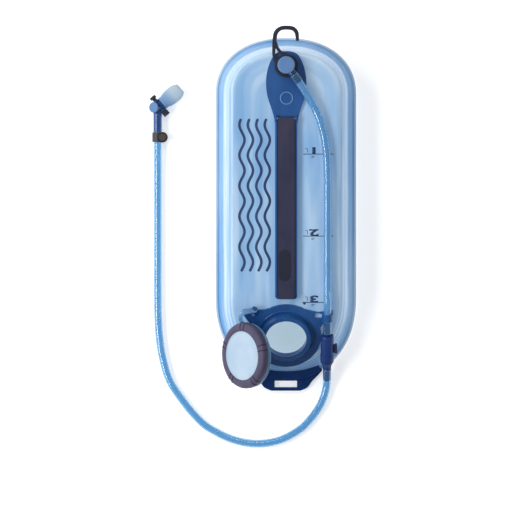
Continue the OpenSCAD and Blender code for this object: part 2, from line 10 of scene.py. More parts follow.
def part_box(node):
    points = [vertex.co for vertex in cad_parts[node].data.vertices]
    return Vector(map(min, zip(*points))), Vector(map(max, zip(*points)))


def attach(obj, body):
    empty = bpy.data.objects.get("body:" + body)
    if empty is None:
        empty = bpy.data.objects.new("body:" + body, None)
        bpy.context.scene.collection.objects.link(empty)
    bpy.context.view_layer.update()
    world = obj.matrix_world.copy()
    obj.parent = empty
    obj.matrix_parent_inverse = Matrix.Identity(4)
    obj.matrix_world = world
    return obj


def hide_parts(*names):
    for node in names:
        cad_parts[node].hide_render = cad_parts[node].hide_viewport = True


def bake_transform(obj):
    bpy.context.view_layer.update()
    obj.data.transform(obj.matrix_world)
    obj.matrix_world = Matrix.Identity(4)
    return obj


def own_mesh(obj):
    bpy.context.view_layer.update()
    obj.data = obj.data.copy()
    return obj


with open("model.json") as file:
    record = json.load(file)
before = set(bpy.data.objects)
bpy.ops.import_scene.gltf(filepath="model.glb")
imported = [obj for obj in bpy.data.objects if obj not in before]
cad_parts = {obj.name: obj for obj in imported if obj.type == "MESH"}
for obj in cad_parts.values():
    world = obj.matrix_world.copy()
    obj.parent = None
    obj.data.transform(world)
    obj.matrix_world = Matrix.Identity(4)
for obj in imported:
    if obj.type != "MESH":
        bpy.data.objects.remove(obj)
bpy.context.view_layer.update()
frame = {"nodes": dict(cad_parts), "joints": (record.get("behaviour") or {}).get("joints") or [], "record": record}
NODES = frame["nodes"]
JOINTS = {j["name"]: j for j in frame["joints"]}
MOUNTS = {m["name"]: m for m in frame["record"]["mounts"]}
MM = 0.001
UP = (0, 0, 1)


# ---------------------------------------------------------------- camera and places

VIEW_MIDDLE = Vector((-0.03875, -0.0575, 0.03))
VIEW_WIDTH = 0.6375
VIEW_DISTANCE = 5.0


def make_camera():
    """Straight above the object, which lies on its back film."""
    data = bpy.data.cameras.new("camera")
    data.sensor_width = 36.0
    data.lens = data.sensor_width * VIEW_DISTANCE / VIEW_WIDTH
    data.clip_end = 60.0
    camera = bpy.data.objects.new("camera", data)
    camera.location = VIEW_MIDDLE + Vector((0, 0, VIEW_DISTANCE))
    bpy.context.scene.collection.objects.link(camera)
    bpy.context.scene.camera = camera


def axes_at(origin, along, side=(1, 0, 0)):
    """A frame whose +Z points along, and whose +X is as near to side as it can be."""
    z = Vector(along).normalized()
    x = (Vector(side) - z * z.dot(Vector(side))).normalized()
    m = Matrix((x, z.cross(x), z)).transposed().to_4x4()
    m.translation = Vector(origin)
    return m


def joint_frame(name, back=0.0, side=(1, 0, 0)):
    """A joint's own frame, its origin moved back along its axis."""
    axis = Vector(JOINTS[name]["axis"]).normalized()
    return axes_at(Vector(JOINTS[name]["pos_m"]) - axis * back, axis, side)


COLLAR_H = 12 * MM
PORT_AXIS = Vector(MOUNTS["filler_mouth"]["axis"]).normalized()
PORT = axes_at(Vector(MOUNTS["filler_mouth"]["pos_m"]) - PORT_AXIS * COLLAR_H, PORT_AXIS)
CAP = joint_frame("cap_twist", back=5 * MM)
PIN = joint_frame("tether_swing", back=8 * MM)
VALVE_TURN = math.radians(40)
VALVE_AXIS = Vector((math.cos(VALVE_TURN), math.sin(VALVE_TURN), 0))
ELBOW = joint_frame("bite_swivel", back=-5 * MM).translation
VALVE = axes_at(ELBOW, VALVE_AXIS, side=(0, 0, 1))


# ---------------------------------------------------------------- mesh helpers

def add_object(name, verts, faces, smooth=True):
    """A linked mesh object from points in the row frame."""
    mesh = bpy.data.meshes.new(name)
    mesh.from_pydata([tuple(v) for v in verts], [], faces)
    mesh.validate()
    mesh.polygons.foreach_set("use_smooth", [smooth] * len(mesh.polygons))
    mesh.update()
    obj = bpy.data.objects.new(name, mesh)
    bpy.context.scene.collection.objects.link(obj)
    return obj


def ring_faces(rings, count, loop=False):
    """Quads between rings of count points each; loop joins the last ring to the first."""
    faces = []
    for i in range(rings if loop else rings - 1):
        j = (i + 1) % rings
        for k in range(count):
            n = (k + 1) % count
            faces.append((i * count + k, i * count + n, j * count + n, j * count + k))
    return faces


def end_faces(rings, count):
    """The faces that close the first and the last ring of a tube."""
    last = (rings - 1) * count
    return [tuple(range(count - 1, -1, -1)), tuple(last + k for k in range(count))]


def round_line(count, at):
    """Points of a closed line, where at gives the point at an angle."""
    return [at(2 * math.pi * i / count) for i in range(count)]


def lathe(name, outline_mm, place, steps=96):
    """Turns a closed outline of (radius, height) points in mm round +Z of place."""
    outline = [(r * MM, z * MM) for r, z in outline_mm]
    verts = []
    for i in range(steps):
        a = 2 * math.pi * i / steps
        verts += [place @ Vector((r * math.cos(a), r * math.sin(a), z)) for r, z in outline]
    return add_object(name, verts, ring_faces(steps, len(outline), loop=True))


def catmull(points, step):
    """A smooth curve through points, with a point about every step metres."""
    p = np.array(points, float)
    out = []
    for i in range(len(p) - 1):
        a, b, c, d = p[max(i - 1, 0)], p[i], p[i + 1], p[min(i + 2, len(p) - 1)]
        n = max(1, round(float(np.linalg.norm(c - b)) / step))
        for t in np.arange(n) / n:
            out.append(0.5 * (2 * b + (c - a) * t + (2 * a - 5 * b + 4 * c - d) * t ** 2
                              + (3 * b - a - 3 * c + d) * t ** 3))
    out.append(p[-1])
    return np.array(out)


def direction(line, i, closed=False):
    """From the point before a line's point to the one after it; an open line's ends count once."""
    n = len(line)
    before = line[(i - 1) % n] if closed or i else line[i]
    after = line[(i + 1) % n] if closed or i < n - 1 else line[i]
    return after - before


def across(along, up=UP):
    """The sideways and the upward direction square to a line."""
    along = Vector(along).normalized()
    side = along.cross(Vector(up)).normalized()
    return side, side.cross(along)


def sweep(name, line, section, closed=False, up=UP):
    """Sweeps closed sections along a line; section(share) gives (side, up) points."""
    line = [Vector(p) for p in line]
    n = len(line)
    verts = []
    for i, p in enumerate(line):
        side, top = across(direction(line, i, closed), up)
        points = section(i / (n - 1))
        verts += [p + side * a + top * b for a, b in points]
    faces = ring_faces(n, len(points), loop=closed)
    if not closed:
        faces += end_faces(n, len(points))
    return add_object(name, verts, faces)


def circle(r, sides):
    """Points round a circle."""
    return round_line(sides, lambda a: (r * math.cos(a), r * math.sin(a)))


def wire(r, sides):
    """A round section for sweep, the same all along."""
    return lambda share: circle(r, sides)


def face_out(obj):
    """Turns every face of a closed mesh outwards."""
    bm = bmesh.new()
    bm.from_mesh(obj.data)
    bmesh.ops.recalc_face_normals(bm, faces=bm.faces)
    bm.to_mesh(obj.data)
    bm.free()
    return obj


def apply_modifiers(obj):
    """Bakes an object's modifiers into its mesh."""
    bpy.context.view_layer.update()
    depsgraph = bpy.context.evaluated_depsgraph_get()
    mesh = bpy.data.meshes.new_from_object(obj.evaluated_get(depsgraph))
    obj.modifiers.clear()
    obj.data = mesh
    return obj


def join(name, parts):
    """Joins mesh objects into one piece."""
    bm = bmesh.new()
    for part in parts:
        bm.from_mesh(part.data)
        bpy.data.objects.remove(part)
    mesh = bpy.data.meshes.new(name)
    bm.to_mesh(mesh)
    bm.free()
    obj = bpy.data.objects.new(name, mesh)
    bpy.context.scene.collection.objects.link(obj)
    return obj


# ---------------------------------------------------------------- materials

def srgb(r, g, b):
    """Linear colour from the 0 to 255 values that a screen shows."""
    def one(v):
        v /= 255
        return v / 12.92 if v <= 0.04045 else ((v + 0.055) / 1.055) ** 2.4
    return (one(r), one(g), one(b), 1.0)


class Look:
    """A Principled material, with texture added node by node."""

    def __init__(self, name, colour, roughness, **sockets):
        self.material = bpy.data.materials.new(name)
        self.material.use_nodes = True
        self.tree = self.material.node_tree
        self.shader = self.tree.nodes["Principled BSDF"]
        self.shader.inputs["Base Color"].default_value = srgb(*colour)
        self.shader.inputs["Roughness"].default_value = roughness
        self.shader.inputs["Specular IOR Level"].default_value = 0.35
        for socket, value in sockets.items():
            self.shader.inputs[socket.replace("_", " ")].default_value = value
        self.colour = srgb(*colour)
        self.height = None

    def node(self, kind, **values):
        node = self.tree.nodes.new(kind)
        for key, value in values.items():
            setattr(node, key, value)
        return node

    def link(self, a, b):
        self.tree.links.new(a, b)

    def noise(self, scale, stretch=(1, 1, 1), detail=3.0, place=None):
        """Noise fixed to the piece, scale in features a metre."""
        place = place or self.node("ShaderNodeTexCoord").outputs["Object"]
        mapping = self.node("ShaderNodeMapping")
        mapping.inputs["Scale"].default_value = stretch
        texture = self.node("ShaderNodeTexNoise")
        texture.inputs["Scale"].default_value = scale
        texture.inputs["Detail"].default_value = detail
        self.link(place, mapping.inputs["Vector"])
        self.link(mapping.outputs["Vector"], texture.inputs["Vector"])
        return texture.outputs["Fac"]

    def ramp(self, source, stops):
        """A colour ramp; stops are (place, linear colour)."""
        ramp = self.node("ShaderNodeValToRGB")
        elements = ramp.color_ramp.elements
        while len(elements) < len(stops):
            elements.new(0.5)
        for element, (place, colour) in zip(elements, stops):
            element.position = place
            element.color = colour
        self.link(source, ramp.inputs["Fac"])
        return ramp.outputs["Color"]

    def span(self, source, lows, highs):
        """A value moved from one range to another, held at both ends."""
        span = self.node("ShaderNodeMapRange")
        span.inputs["From Min"].default_value, span.inputs["From Max"].default_value = lows
        span.inputs["To Min"].default_value, span.inputs["To Max"].default_value = highs
        self.link(source, span.inputs["Value"])
        return span.outputs["Result"]

    def mix(self, share, under, over):
        """One colour laid over another by a share; each is a socket or a fixed colour."""
        mix = self.node("ShaderNodeMix", data_type="RGBA")
        self.link(share, mix.inputs["Factor"])
        for place, colour in (("A_Color", under), ("B_Color", over)):
            socket = next(i for i in mix.inputs if i.identifier == place)
            if isinstance(colour, tuple):
                socket.default_value = colour
            else:
                self.link(colour, socket)
        return next(o for o in mix.outputs if o.identifier == "Result_Color")

    def maths(self, operation, first, second=None):
        """A calculation with a socket, and with a second one or a fixed number if it needs one."""
        step = self.node("ShaderNodeMath", operation=operation)
        self.link(first, step.inputs[0])
        if isinstance(second, float):
            step.inputs[1].default_value = second
        elif second is not None:
            self.link(second, step.inputs[1])
        return step.outputs["Value"]

    def vary(self, other, scale, stretch=(1, 1, 1)):
        """Clouds of a second colour."""
        colour = self.ramp(self.noise(scale, stretch), [(0.35, self.colour), (0.65, srgb(*other))])
        self.link(colour, self.shader.inputs["Base Color"])
        return self

    def scuff(self, least, most, scale):
        """Roughness that changes over the surface."""
        rough = self.span(self.noise(scale), (0.3, 0.7), (least, most))
        self.link(rough, self.shader.inputs["Roughness"])
        return self

    def grain(self, depth_mm, scale, strength, stretch=(1, 1, 1)):
        """A fine relief; calls add up."""
        bump = self.node("ShaderNodeBump")
        bump.inputs["Strength"].default_value = strength
        bump.inputs["Distance"].default_value = depth_mm * MM
        self.link(self.noise(scale, stretch, 4.0), bump.inputs["Height"])
        if self.height:
            self.link(self.height, bump.inputs["Normal"])
        self.height = bump.outputs["Normal"]
        self.link(self.height, self.shader.inputs["Normal"])
        return self


def moulded(name, colour, other, roughness, coat=0.0, gloss=0.35):
    """Injection-moulded plastic: fine texture, faint flow marks, handling marks."""
    look = Look(name, colour, roughness, Coat_Weight=coat, Coat_Roughness=0.12,
                Specular_IOR_Level=gloss)
    look.vary(other, 45, (1, 0.4, 1))
    look.scuff(max(0.08, roughness - 0.06), roughness + 0.06, 60)
    look.grain(0.04, 2600, 0.2).grain(0.2, 60, 0.06)
    return look.material


def film_look():
    """Frosted blue film; its tint follows how far a point is from the welded rim, with a painted highlight at the
    plateau's edge, painted reflection streaks on the walls and a faint painted glow of light through it.
    """
    look = Look("film", (150, 190, 226), 0.16, IOR=1.4, Transmission_Weight=0.15,
                Coat_Weight=0.4, Coat_Roughness=0.05, Emission_Strength=0.16)
    inset = look.node("ShaderNodeAttribute", attribute_name="inset").outputs["Fac"]
    # The pale band at 0.70 to 0.735 is a painted highlight along the plateau's rounded edge.
    colour = look.ramp(inset, [
        (0.0, srgb(206, 216, 224)), (0.07, srgb(188, 206, 222)), (0.085, srgb(70, 134, 200)),
        (0.13, srgb(110, 164, 214)), (0.20, srgb(136, 184, 226)), (0.42, srgb(138, 186, 230)),
        (0.64, srgb(146, 190, 228)), (0.70, srgb(206, 226, 242)), (0.735, srgb(176, 208, 234)),
        (0.78, srgb(154, 192, 228)), (1.0, srgb(150, 190, 226))])
    split = look.node("ShaderNodeSeparateXYZ")
    look.link(look.node("ShaderNodeTexCoord").outputs["Object"], split.inputs["Vector"])
    along = look.node("ShaderNodeCombineXYZ")
    look.link(inset, along.inputs["X"])
    look.link(split.outputs["Y"], along.inputs["Y"])
    look.link(split.outputs["X"], along.inputs["Z"])
    # The pale and the dark streaks, masked to the walls, are painted reflections.
    painted_reflection_streak = look.noise(1.0, (15, 8, 5), 1.0, along.outputs["Vector"])
    wall = look.span(inset, (0.16, 0.24), (0, 1))
    for source, lows, most, over in (
            (look.noise(9, (1.6, 0.5, 1.0)), (0.42, 0.68), 0.55, (190, 214, 234)),
            (look.noise(7, (1.2, 0.4, 1.0)), (0.46, 0.3), 0.5, (124, 172, 216)),
            (painted_reflection_streak, (0.52, 0.68), 0.5, (206, 226, 242)),
            (painted_reflection_streak, (0.46, 0.32), 0.42, (104, 160, 214))):
        share = look.span(source, lows, (0, most))
        if source is painted_reflection_streak:
            share = look.maths("MULTIPLY", share, wall)
        colour = look.mix(share, colour, srgb(*over))
    look.link(colour, look.shader.inputs["Base Color"])
    # The film glows in its own colour: painted light shining through it from behind.
    look.link(colour, look.shader.inputs["Emission Color"])
    look.grain(1.6, 26, 0.22, (1.4, 0.25, 1.0)).grain(0.08, 900, 0.12)
    return look.material


def hose_look():
    """Clear blue tube, which takes the red out of the light, dark and ribbed over the barbs, with a faint painted
    glow of blue light.
    """
    # Its emission is a painted glow standing in for light scattered in the tube.
    look = Look("hose_clear", (164, 208, 232), 0.05, IOR=1.38, Transmission_Weight=0.78,
                Specular_IOR_Level=0.8, Coat_Weight=1.0, Coat_Roughness=0.08, Coat_IOR=1.7,
                Emission_Color=srgb(66, 158, 213), Emission_Strength=0.12)
    barb = look.node("ShaderNodeAttribute", attribute_name="over_barb").outputs["Fac"]
    ribs = look.maths("SINE", look.maths("MULTIPLY", barb, 2 * math.pi / BARB_PITCH_MM))
    dark = look.ramp(look.span(ribs, (-1, 1), (0, 1)),
                     [(0.25, srgb(22, 58, 116)), (0.8, srgb(74, 124, 182))])
    colour = look.mix(look.span(barb, (-0.4, 0.4), (0, 1)), look.colour, dark)
    look.link(colour, look.shader.inputs["Base Color"])
    depth = look.node("ShaderNodeVolumeAbsorption")
    depth.inputs["Color"].default_value = (0.05, 0.6, 0.84, 1)
    depth.inputs["Density"].default_value = 150
    look.link(depth.outputs["Volume"], look.tree.nodes["Material Output"].inputs["Volume"])
    return look.material


def valve_look():
    """Milky silicone, bluer towards its foot."""
    look = Look("valve_silicone", (186, 208, 228), 0.38, IOR=1.41, Transmission_Weight=0.25)
    place = look.node("ShaderNodeAttribute", attribute_name="along")
    tint = look.ramp(place.outputs["Fac"], [(0.0, srgb(128, 172, 218)), (0.28, srgb(148, 188, 226)),
                                            (0.6, srgb(206, 224, 238)), (1.0, srgb(212, 228, 240))])
    look.link(tint, look.shader.inputs["Base Color"])
    look.grain(0.1, 500, 0.2)
    return look.material


def make_looks():
    """Every material, by the slot name that the record gives it where it has one."""
    return {
        "film": film_look(),
        # The back sheet's emission is a painted glow, light that brightens the inside seen through the port.
        "film_back": Look("film_back", (172, 196, 210), 0.3, Transmission_Weight=0.2,
                          Emission_Color=srgb(190, 200, 196), Emission_Strength=0.55)
        .vary((162, 190, 206), 14).grain(0.6, 40, 0.2).material,
        "port_blue": moulded("port_blue", (27, 80, 144), (36, 90, 154), 0.28, 0.3),
        "tab_blue": moulded("tab_blue", (20, 54, 112), (26, 62, 120), 0.3, 0.0, 0.15),
        "spine_blue": moulded("spine_blue", (32, 82, 144), (42, 92, 154), 0.38, 0.1),
        "hook_charcoal": moulded("hook_charcoal", (36, 36, 52), (46, 46, 64), 0.4),
        "arm_charcoal": moulded("arm_charcoal", (48, 50, 76), (60, 58, 84), 0.4, 0.05),
        "groove_dark": moulded("groove_dark", (46, 42, 62), (54, 50, 70), 0.7),
        "grip_rubber": moulded("grip_rubber", (32, 36, 58), (40, 42, 66), 0.6),
        "elbow_navy": moulded("elbow_navy", (24, 58, 104), (30, 66, 116), 0.22, 0.5),
        "cover_blue": moulded("cover_blue", (94, 132, 184), (104, 142, 192), 0.42),
        "steel": Look("steel", (190, 192, 196), 0.25, Metallic=1.0).scuff(0.15, 0.4, 900)
        .material,
        "seal_black": moulded("seal_black", (26, 26, 30), (34, 34, 38), 0.5),
        "tether_clear": Look("tether_clear", (150, 200, 238), 0.15, IOR=1.38,
                             Transmission_Weight=0.5, Specular_IOR_Level=0.6).material,
        "cap_blue": moulded("cap_blue", (26, 62, 112), (34, 74, 128), 0.3, 0.3),
        "cap_grip": moulded("cap_grip", (72, 66, 94), (84, 78, 104), 0.5),
        "cap_face": Look("cap_face", (192, 214, 232), 0.3, Transmission_Weight=0.1,
                         Coat_Weight=0.3, Coat_Roughness=0.15)
        .vary((178, 204, 228), 40).grain(0.15, 300, 0.15).material,
        "silicone": Look("silicone", (206, 222, 234), 0.45, Transmission_Weight=0.3)
        .vary((194, 214, 230), 80).grain(0.1, 500, 0.2).material,
        "hose_clear": hose_look(),
        "coupling_navy": moulded("coupling_navy", (26, 56, 120), (34, 66, 130), 0.34, 0.1, 0.25),
        "button_navy": moulded("button_navy", (40, 48, 84), (50, 58, 94), 0.45),
        "clip_grey": moulded("clip_grey", (62, 60, 62), (74, 72, 74), 0.45),
        "magnet_brown": moulded("magnet_brown", (72, 64, 62), (84, 76, 72), 0.35),
        "adapter_blue": Look("adapter_blue", (34, 82, 150), 0.14, IOR=1.45,
                             Transmission_Weight=0.2, Coat_Weight=1.0, Coat_Roughness=0.05)
        .vary((36, 86, 156), 60).material,
        "valve_silicone": valve_look(),
        "ink": moulded("ink", (44, 66, 108), (52, 74, 116), 0.5),
    }


def dress(obj, look):
    """Gives a new piece its material."""
    obj.data.materials.clear()
    obj.data.materials.append(look)
    return obj


# ---------------------------------------------------------------- hoses

HOSE_D = 9.75 * MM
HOSE_R = HOSE_D / 2
BORE_R = 3.2 * MM
UPPER_ROUTE = [
    [9, 166.5, 67.4], [14.2, 159.8, 66.4], [21, 149.5, 64.6], [28.5, 137.5, 62.6],
    [35.5, 124.5, 60.8], [41.5, 110.5, 59.6], [46, 95, 59.2], [49, 78, 59.1], [50.7, 60, 59.1],
    [51.4, 40, 59.1], [51.5, 10, 59.1], [51.5, -20, 59.1], [51.5, -50, 59.1],
    [51.5, -74, 59.4], [51.5, -90, 60.2], [51.5, -104, 60.9], [51.5, -117, 59.4],
    [51.5, -129.3, 54.8], [51.5, -143, 47.5], [51.5, -155.4, 40.9]]
DRINK_ROUTE = [
    [51.5, -200, 17.2], [51.5, -214.5, 9.4], [51.5, -217, 8.1], [50.5, -225, 5.8],
    [47.5, -236, 4.9], [42, -248, 4.9], [32, -262, 4.9], [17.5, -276.5, 4.9], [-8, -290, 4.9],
    [-37, -294.5, 4.9], [-67.5, -289, 4.9], [-97, -274.5, 4.9], [-113, -260.5, 4.9],
    [-128, -242.5, 4.9], [-145.5, -216.5, 4.9], [-154, -190, 4.9], [-158.5, -164, 4.9],
    [-160.5, -135, 4.9], [-161, -100, 4.9], [-161, -60, 4.9], [-161, -20, 4.9],
    [-161, 15, 4.9], [-161, 40, 5], [-161, 70, 6.56], [-161, 97.5, 8]]
RING_STEP = 2.0 * MM
HOSE_SIDES = 36
BARB_GROWTH = 0.35 * MM
BARB_PITCH_MM = 3.6
LEAST_REACH_MM = -3.0


def make_hose(name, route, barbs):
    """A hollow hose, its line and its length; barbs are how far one reaches into each end."""
    line = catmull(np.array(route) * MM, RING_STEP)
    lengths = np.concatenate([[0], np.cumsum(np.linalg.norm(np.diff(line, axis=0), axis=1))])
    whole = lengths[-1]
    verts, reaches = [], []
    for wall in (HOSE_R, BORE_R):
        for i, p in enumerate(line):
            side, top = across(direction(line, i))
            reach = max(barbs[0] - lengths[i], barbs[1] - (whole - lengths[i]))
            reaches += [max(LEAST_REACH_MM, reach / MM)] * HOSE_SIDES
            r = wall + BARB_GROWTH * min(1.0, max(0.0, reach / RING_STEP + 0.5))
            verts += [Vector(p) + side * a + top * b for a, b in circle(r, HOSE_SIDES)]
    n = len(line)
    outer = ring_faces(n, HOSE_SIDES)
    bore = [tuple(n * HOSE_SIDES + v for v in face[::-1]) for face in outer]
    faces = outer + bore
    for ring in (0, n - 1):
        for k in range(HOSE_SIDES):
            m = (k + 1) % HOSE_SIDES
            a, b = ring * HOSE_SIDES + k, ring * HOSE_SIDES + m
            quad = (a, b, b + n * HOSE_SIDES, a + n * HOSE_SIDES)
            faces.append(quad if ring else quad[::-1])
    hose = face_out(add_object(name, verts, faces))
    place = hose.data.attributes.new("over_barb", "FLOAT", "POINT")
    place.data.foreach_set("value", reaches)
    return hose, line, whole


def make_hoses(looks):
    """Both hoses; the drink hose is returned with its line and its length."""
    upper, line, length = make_hose("upper_hose_tube", UPPER_ROUTE, (12 * MM, 17 * MM))
    dress(upper, looks["hose_clear"])
    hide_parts("upper_hose")
    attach(upper, "reservoir")
    drink, line, length = make_hose("drink_hose_tube", DRINK_ROUTE, (16 * MM, 12 * MM))
    dress(drink, looks["hose_clear"])
    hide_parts("drink_hose", "hose_end")
    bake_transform(drink)
    return drink, line, length


# ---------------------------------------------------------------- reservoir

HALF_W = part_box("front_film")[1].x
FRONT_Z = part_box("front_film")[1].z
TOP_Y, TOP_LEN = 144.5 * MM, 71 * MM
SLOPE_Y, BOTTOM_LEN = -110.5 * MM, 102.5 * MM
POWER = 2.2
SLOPE = math.tan(math.radians(28))
SLOPE_FOOT = 6 * MM
FILM = 0.8 * MM
FLANGE_W, WALL_W = 5.5 * MM, 22 * MM
FLANGE_H = 1.4 * MM
EDGE_H, EDGE_W = 0.9 * MM, 0.7 * MM
BEAD_H, BEAD_X, BEAD_W = 0.5 * MM, 2.9 * MM, 0.55 * MM
END_STEPS, SIDE_STEPS = 72, 52
WALL_RINGS, INNER_RINGS = 22, 16
WALL_CURVE = [(0, 0), (0.06, 0.05), (0.22, 0.26), (0.42, 0.56), (0.6, 0.78), (0.8, 0.94), (1, 1)]
CURVE_SOFT = 0.035
FOLD_SOFT = 6 * MM
CROWN_H, CROWN_X, CROWN_W = 0.9 * MM, 33 * MM, 9 * MM
CROWN_ENDS, CROWN_FADE = (-105 * MM, 150 * MM), 80 * MM
WAVE_H, WAVE_RATE, END_WAVES = 0.35 * MM, 95, 5
MIDLINE = (-128 * MM, 140 * MM)
INNER_INSET = 8 * MM
PORT_HOLE_R, PORT_HOLE_DEPTH = 30 * MM, 6 * MM


def signed_power(v, p):
    """A power that keeps the sign."""
    return math.copysign(abs(v) ** p, v)


def outline(inset):
    """Points round the reservoir at an inset, counter-clockwise from the right side."""
    points = []
    for middle, length, start, far in ((TOP_Y, TOP_LEN, 0.0, SLOPE_Y),
                                       (SLOPE_Y, BOTTOM_LEN, math.pi, TOP_Y)):
        for i in range(END_STEPS + 1):
            t = start + math.pi * i / END_STEPS
            points.append(((HALF_W - inset) * signed_power(math.cos(t), 2 / POWER),
                           middle + (length - inset) * signed_power(math.sin(t), 2 / POWER)))
        x = points[-1][0]
        for i in range(1, SIDE_STEPS):
            points.append((x, middle + (far - middle) * i / SIDE_STEPS))
    return points


def front_height(y):
    """The plateau's height, and the slope under the port, joined by a soft fold."""
    flat = FRONT_Z
    slope = max(SLOPE_FOOT, FRONT_Z + (y - SLOPE_Y) * SLOPE)
    near = max(FOLD_SOFT - abs(flat - slope), 0) / FOLD_SOFT
    return min(flat, slope) - near * near * FOLD_SOFT / 4


def crown(x, y):
    """The plateau swells a little on both sides of the spine."""
    low, high = CROWN_ENDS
    if y < low or y > high:
        return 0.0
    ends = 1.0
    for reach in (y - low, high - y):
        ends *= math.sin(math.pi * min(1, reach / CROWN_FADE) / 2)
    return CROWN_H * ends * math.exp(-(((abs(x) - CROWN_X) / CROWN_W) ** 2))


def wall_rise(share):
    """Share of the full height across the wall, as a smooth curve."""
    xs, ys = zip(*WALL_CURVE)
    spread = [share + k * CURVE_SOFT for k in (-2, -1, 0, 1, 2)]
    return float(np.mean(np.interp(spread, xs, ys))) if share > 0 else 0.0


def flange_height(inset):
    """The welded rim: a thin edge, a raised weld bead and a flat land."""
    edge = EDGE_H * min(1.0, inset / EDGE_W) ** 0.5
    bead = BEAD_H * math.exp(-(((inset - BEAD_X) / BEAD_W) ** 2))
    return FLANGE_H + edge + bead


def film_rings():
    """Insets of the rings from the rim to the plateau's edge."""
    flange = [0, 0.2, 0.45, 0.8, 1.4, 2.0, 2.3, 2.6, 2.9, 3.2, 3.5, 4.0, 4.8]
    wall = [FLANGE_W + (WALL_W - FLANGE_W) * i / WALL_RINGS for i in range(WALL_RINGS + 1)]
    return [v * MM for v in flange] + wall


def film_height(inset, x, y):
    """Height of the front film's outer face."""
    if inset < FLANGE_W:
        return flange_height(inset)
    rise = wall_rise((inset - FLANGE_W) / (WALL_W - FLANGE_W))
    low = flange_height(FLANGE_W)
    turn = math.atan2(y - TOP_Y, x) if y > TOP_Y else 0.0
    wave = WAVE_H * math.sin(y * WAVE_RATE + END_WAVES * turn) * math.sin(math.pi * rise)
    return low + (front_height(y) - low) * rise + wave + crown(x, y) * rise


def make_front_film(look):
    """The moulded front: rings inwards to the plateau, then to a line, open under the port."""
    rings = film_rings()
    verts, insets = [], []
    for inset in rings:
        for x, y in outline(inset):
            verts.append((x, y, film_height(inset, x, y)))
            insets.append(inset)
    edge = outline(rings[-1])
    for i in range(1, INNER_RINGS + 1):
        share = i / INNER_RINGS
        for x, y in edge:
            middle = min(max(y, MIDLINE[0]), MIDLINE[1])
            px, py = x * (1 - share), y + (middle - y) * share
            verts.append((px, py, front_height(py) + crown(px, py)))
            insets.append(WALL_W + INNER_INSET * share)
    film = add_object("front_film_shell", verts,
                      ring_faces(len(rings) + INNER_RINGS, len(edge)))
    place = film.data.attributes.new("inset", "FLOAT", "POINT")
    place.data.foreach_set("value", [v / (WALL_W + INNER_INSET) for v in insets])
    bm = bmesh.new()
    bm.from_mesh(film.data)
    bmesh.ops.remove_doubles(bm, verts=bm.verts, dist=0.05 * MM)
    to_port = PORT.inverted()
    covered = []
    for face in bm.faces:
        p = to_port @ face.calc_center_median()
        if math.hypot(p.x, p.y) < PORT_HOLE_R and abs(p.z) < PORT_HOLE_DEPTH:
            covered.append(face)
    bmesh.ops.delete(bm, geom=covered, context="FACES")
    bm.to_mesh(film.data)
    bm.free()
    shell = film.modifiers.new("thickness", "SOLIDIFY")
    shell.thickness = FILM
    shell.offset = -1
    apply_modifiers(film)
    dress(film, look)
    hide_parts("front_film")
    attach(film, "reservoir")


def make_back_film(look):
    """The flat back sheet, rounded at its rim."""
    insets = [0, 0.3, 0.8, 2.2, 2.9, 3.6, 6, 12]
    tops = [0.75, 1.1] + [1.15] * 6
    bottoms = [0.35] + [0.05] * 7
    verts = []
    for heights in (tops, bottoms):
        for inset, z in zip(insets, heights):
            verts += [(x, y, z * MM) for x, y in outline(inset * MM)]
    count = len(outline(0))
    n = len(insets)
    faces = ring_faces(n, count)
    faces += [tuple(n * count + v for v in face[::-1]) for face in ring_faces(n, count)]
    for k in range(count):
        m = (k + 1) % count
        faces.append((k, k + n * count, m + n * count, m))
    faces.append(tuple((n - 1) * count + k for k in range(count)))
    faces.append(tuple((2 * n - 1) * count + k for k in range(count - 1, -1, -1)))
    film = face_out(add_object("back_film_sheet", verts, faces))
    dress(film, look)
    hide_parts("back_film")
    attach(film, "reservoir")


# ---------------------------------------------------------------- print on the film

INK_LIFT = 0.12 * MM
INK_T = 0.16 * MM
PRINT_STEP = 1.2 * MM


def on_film(x, y):
    """A point just above the film."""
    return Vector((x, y, front_height(y) + crown(x, y) + INK_LIFT))


def ribbon(points, width):
    """A flat printed line of points in the plane, with round ends."""
    line = catmull([(x, y, 0) for x, y in points], PRINT_STEP)
    n = len(line)
    verts, faces = [], []
    for i, p in enumerate(line):
        along = direction(line, i)
        side = np.array((-along[1], along[0])) / np.hypot(along[0], along[1])
        half = width / 2
        reach = min(i, n - 1 - i) * PRINT_STEP
        half *= math.sqrt(max(0.12, 1 - max(0.0, 1 - reach / half) ** 2))
        for s in (-1, 1):
            verts.append(on_film(p[0] + s * side[0] * half, p[1] + s * side[1] * half))
    for i in range(n - 1):
        faces.append((2 * i, 2 * i + 1, 2 * i + 3, 2 * i + 2))
    return add_object("line", verts, faces, smooth=False)


def patch(points):
    """A small filled printed shape."""
    bm = bmesh.new()
    face = bm.faces.new([bm.verts.new((x, y, 0)) for x, y in points])
    bmesh.ops.triangulate(bm, faces=[face])
    mesh = bpy.data.meshes.new("patch")
    bm.to_mesh(mesh)
    bm.free()
    for v in mesh.vertices:
        v.co = on_film(v.co.x, v.co.y)
    obj = bpy.data.objects.new("patch", mesh)
    bpy.context.scene.collection.objects.link(obj)
    return obj


NUMERAL_SIZE, NUMERAL_BOLD = 17 * MM, 0.6 * MM
NUMERAL_WIDE, NUMERAL_LOW = 1.4, 0.68


